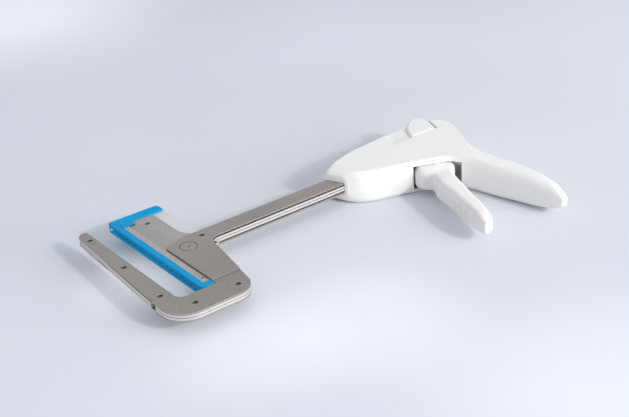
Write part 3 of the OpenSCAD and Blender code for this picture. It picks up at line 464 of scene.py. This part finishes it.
def dressed(node, body, finish, edge, steps=2, angle=SHEET_CORNER):
    """A CAD node's shape with its outer sharp edges broken."""
    piece = copy_of(node, node + "_dressed")
    mark_outer_edges(piece, angle)
    apply(piece, "BEVEL", width=edge, segments=steps, limit_method="WEIGHT",
          use_clamp_overlap=True, harden_normals=False, miter_outer="MITER_ARC")
    return finish_piece(piece, finish, body, node, angle=angle)


def dish(piece, rim, depth):
    """Sinks a dish into every flat round end of a piece, inside a rim."""
    for side in (1, -1):
        only(piece)
        for face in piece.data.polygons:
            face.select = face.normal.z * side > 0.99
        bpy.ops.object.mode_set(mode="EDIT")
        bpy.ops.mesh.select_mode(type="FACE")
        bpy.ops.mesh.inset(thickness=rim, depth=0)
        bpy.ops.mesh.inset(thickness=rim, depth=-depth)
        bpy.ops.object.mode_set(mode="OBJECT")


def softened(node, body, finish, grain, passes):
    """A CAD node's shape as one soft moulding without corners."""
    piece = copy_of(node, node + "_soft")
    apply(piece, "REMESH", mode="VOXEL", voxel_size=grain)
    apply(piece, "SMOOTH", factor=0.5, iterations=passes)
    return finish_piece(piece, finish, body, node, angle=60)


def paint(finish, *nodes):
    """Gives CAD nodes whose shape is right a better material."""
    for name in nodes:
        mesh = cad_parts[name].data
        mesh.materials.clear()
        mesh.materials.append(bpy.data.materials[finish])


# Operators


class STAPLER_OT_materials(bpy.types.Operator):
    """Makes every finish of the stapler"""

    bl_idname = "stapler.materials"
    bl_label = "Materials"

    def execute(self, context):
        make_finishes()
        return {"FINISHED"}


class STAPLER_OT_frame(bpy.types.Operator):
    """Outer plates, laminations, rails, anvil and rivets"""

    bl_idname = "stapler.frame"
    bl_label = "Steel frame"

    def execute(self, context):
        edge, steps = sizes().sheet_edge, sizes().edge_steps
        dressed("frame_plate_upper", "frame", "Stamped steel", edge, steps)
        dressed("frame_plate_lower", "frame", "Frame steel", edge, steps)
        for node in ("core_lamination_upper", "core_lamination_lower", "far_rail_upper", "far_rail_lower",
                     "anvil_bar", "arm_backing_strip"):
            dressed(node, "frame", "Stacked steel", sizes().lamination_edge, 1)
        paint("Bright steel", "rail_washers", "shaft_pins")
        rivets = copy_of("frame_rivets", "frame_rivets_dished")
        dish(rivets, edge * RIVET_RIM, sizes().dimple_depth)
        finish_piece(rivets, "Rivet steel", "frame", "frame_rivets")
        return {"FINISHED"}


class STAPLER_OT_cartridge(bpy.types.Operator):
    """Blue cartridge with its staples"""

    bl_idname = "stapler.cartridge"
    bl_label = "Cartridge"

    def execute(self, context):
        dressed("cartridge_body", "carriage", "Cartridge blue",
                sizes().moulded_edge * CARTRIDGE_EDGE)
        paint("Bright steel", "staples")
        return {"FINISHED"}


class STAPLER_OT_holder(bpy.types.Operator):
    """Sliding holder, its rivets and what it encloses"""

    bl_idname = "stapler.holder"
    bl_label = "Holder"

    def execute(self, context):
        edge, steps = sizes().sheet_edge, sizes().edge_steps
        for node in ("holder_plate_upper", "holder_plate_lower"):
            dressed(node, "carriage", "Holder steel", edge, steps)
        rivets = copy_of("holder_rivets", "holder_rivets_dished")
        dish(rivets, edge * RIVET_RIM, sizes().dimple_depth * HOLDER_DISH)
        finish_piece(rivets, "Rivet steel", "carriage", "holder_rivets")
        paint("Bright steel", "closing_yoke", "yoke_rivets", "pusher_bar")
        paint("Handle white", "staple_driver")
        return {"FINISHED"}


class STAPLER_OT_pin(bpy.types.Operator):
    """Retaining pin, its milky link and the thumb knob"""

    bl_idname = "stapler.pin"
    bl_label = "Pin and knob"

    def execute(self, context):
        edge = sizes().moulded_edge
        dressed("retaining_pin", "pin", "Bright steel", edge * PIN_EDGE)
        dressed("pin_link", "pin", "Link milky", edge * LINK_EDGE)
        paint("Bright steel", "pin_strip")
        paint("Handle white", "pin_slider")
        softened("pin_knob", "pin", "Handle white", KNOB_GRAIN, KNOB_PASSES)
        return {"FINISHED"}


class STAPLER_OT_handle(bpy.types.Operator):
    """Two moulded shells with their screws"""

    bl_idname = "stapler.handle"
    bl_label = "Handle"

    def execute(self, context):
        for node in ("handle_shell_upper", "handle_shell_lower"):
            dressed(node, "frame", "Handle white", sizes().moulded_edge * SHELL_EDGE,
                    angle=MOULDED_CORNER)
        paint("Bright steel", "shell_screws", "trigger_pivot_pin", "pawl_pin")
        paint("Spring steel", "trigger_spring", "pawl_spring")
        return {"FINISHED"}


class STAPLER_OT_trigger(bpy.types.Operator):
    """Trigger with its ribs and stub pins"""

    bl_idname = "stapler.trigger"
    bl_label = "Trigger"

    def execute(self, context):
        dressed("trigger", "trigger", "Handle white", sizes().moulded_edge,
                angle=MOULDED_CORNER)
        paint("Bright steel", "drive_pins")
        return {"FINISHED"}


class STAPLER_OT_release(bpy.types.Operator):
    """Release button, stem and pawl"""

    bl_idname = "stapler.release"
    bl_label = "Release"

    def execute(self, context):
        dressed("release_button", "release", "Handle white", sizes().moulded_edge,
                angle=MOULDED_CORNER)
        paint("Handle white", "release_stem")
        paint("Bright steel", "latch_pawl")
        return {"FINISHED"}


# The handle lies on its flat side
FLOOR_HEIGHT = -10.5 * MM
FLOOR_REACH = 3.0
# Painted pools of light on the floor, drawn as emission where no lamp shines, as (place, reach, strength)
PAINTED_LIGHT_POOLS = (
    ((0.012, 0.0, -0.01), 0.06, 0.3),
    ((0.01, -0.095, -0.01), 0.075, 0.1),
    ((0.07, -0.115, -0.01), 0.085, 0.12),
    ((0.11, -0.25, -0.01), 0.14, 0.14),
    ((0.16, 0.52, -0.01), 0.22, 0.2),
)
# Lamps as (name, place, size, power, colour), all aimed at the shaft
LAMPS = (
    ("Key", (0.76, -2.58, 1.374), 0.3, 30.0, (1.0, 0.99, 0.97)),
    ("Front", (1.6, -3.2, 1.25), 2.6, 84.0, (1.0, 0.995, 0.985)),
)
LAMP_AIM = (0.1, 0, 0)
SKY_COLOUR = (0.86, 0.89, 0.94, 1)
SKY_STRENGTH = 0.7
CAMERA_PLACE = Vector((-0.2476, -0.5182, 0.3158))
CAMERA_ROWS = ((0.7908, -0.6085, -0.0664), (0.3241, 0.3241, 0.8888), (-0.5193, -0.7243, 0.4535))


class STAPLER_OT_stage(bpy.types.Operator):
    """Floor, lamps, world and camera"""

    bl_idname = "stapler.stage"
    bl_label = "Stage"

    def floor(self):
        bpy.ops.mesh.primitive_plane_add(size=2 * FLOOR_REACH, location=(0, 0, 0))
        floor = bpy.context.active_object
        floor.name = "studio_floor"
        floor.data.transform(Matrix.Translation((0, 0, FLOOR_HEIGHT)))
        material = bpy.data.materials.new("Studio floor")
        material.use_nodes = True
        t = Tree(material.node_tree)
        shader = material.node_tree.nodes["Principled BSDF"]
        shader.inputs["Roughness"].default_value = 0.5
        shader.inputs["Specular IOR Level"].default_value = 0.2
        where = t.add("ShaderNodeTexCoord").outputs["Object"]
        cloud = t.span(t.noise(where, 3.2, 2.0, 0.45), 0.35, 0.68)
        colour = tuple(finishes().floor)
        t.join(t.mix(cloud, tone(colour, 0.97), tone(colour, 1.04)), shader.inputs["Base Color"])
        # Painted light: each pool makes the floor emit light, strongest at its place and fading to nothing
        # at its reach
        painted_light = None
        for place, reach, strength in PAINTED_LIGHT_POOLS:
            away = t.add("ShaderNodeVectorMath", operation="DISTANCE")
            t.join(where, away.inputs[0])
            away.inputs[1].default_value = place
            fall = t.add("ShaderNodeMapRange", {
                "From Min": 0.0, "From Max": reach, "To Min": strength, "To Max": 0.0},
                interpolation_type="SMOOTHERSTEP")
            t.join(away.outputs["Value"], fall.inputs["Value"])
            painted_light = fall.outputs[0] if painted_light is None else t.math("ADD", painted_light, fall.outputs[0])
        t.join(painted_light, shader.inputs["Emission Color"])
        shader.inputs["Emission Strength"].default_value = 1.0
        floor.data.materials.append(material)

    def lamp(self, name, place, size, power, colour):
        data = bpy.data.lights.new(name, "AREA")
        data.shape = "DISK"
        data.size = size
        data.energy = power
        data.color = colour
        lamp = bpy.data.objects.new(name, data)
        bpy.context.scene.collection.objects.link(lamp)
        lamp.location = place
        lamp.rotation_euler = (Vector(LAMP_AIM) - Vector(place)).to_track_quat("-Z", "Y").to_euler()

    def world(self):
        world = bpy.data.worlds.new("Studio")
        world.use_nodes = True
        background = world.node_tree.nodes["Background"]
        background.inputs["Color"].default_value = SKY_COLOUR
        background.inputs["Strength"].default_value = SKY_STRENGTH
        bpy.context.scene.world = world

    def camera(self):
        data = bpy.data.cameras.new("Studio camera")
        data.lens = sizes().lens
        data.sensor_width = 36
        data.clip_start = 0.01
        camera = bpy.data.objects.new("Studio camera", data)
        bpy.context.scene.collection.objects.link(camera)
        turn = Matrix(CAMERA_ROWS).transposed().to_4x4()
        camera.matrix_world = Matrix.Translation(CAMERA_PLACE) @ turn
        bpy.context.scene.camera = camera

    def execute(self, context):
        self.floor()
        self.world()
        for lamp in LAMPS:
            self.lamp(*lamp)
        self.camera()
        view = context.scene.view_settings
        view.view_transform = "Standard"
        return {"FINISHED"}


STEPS = (
    STAPLER_OT_materials, STAPLER_OT_stage, STAPLER_OT_frame, STAPLER_OT_cartridge, STAPLER_OT_holder,
    STAPLER_OT_pin, STAPLER_OT_handle, STAPLER_OT_trigger, STAPLER_OT_release,
)


class STAPLER_PT_panel(bpy.types.Panel):
    """Lists the stapler's steps and values"""

    bl_label = "Stapler"
    bl_idname = "STAPLER_PT_panel"
    bl_space_type = "VIEW_3D"
    bl_region_type = "UI"
    bl_category = "Stapler"

    def draw(self, context):
        for group in (context.scene.stapler_sizes, context.scene.stapler_finishes):
            for name in group.__annotations__:
                self.layout.prop(group, name)
        for step in STEPS:
            self.layout.operator(step.bl_idname)


CLASSES = (StaplerSizes, StaplerFinishes) + STEPS + (STAPLER_PT_panel,)


def register():
    for c in CLASSES:
        bpy.utils.register_class(c)
    bpy.types.Scene.stapler_sizes = PointerProperty(type=StaplerSizes)
    bpy.types.Scene.stapler_finishes = PointerProperty(type=StaplerFinishes)


def unregister():
    del bpy.types.Scene.stapler_finishes
    del bpy.types.Scene.stapler_sizes
    for c in reversed(CLASSES):
        bpy.utils.unregister_class(c)


def main():
    register()
    for step in STEPS:
        group, name = step.bl_idname.split(".")
        getattr(getattr(bpy.ops, group), name)()


if __name__ == "__main__":
    main()
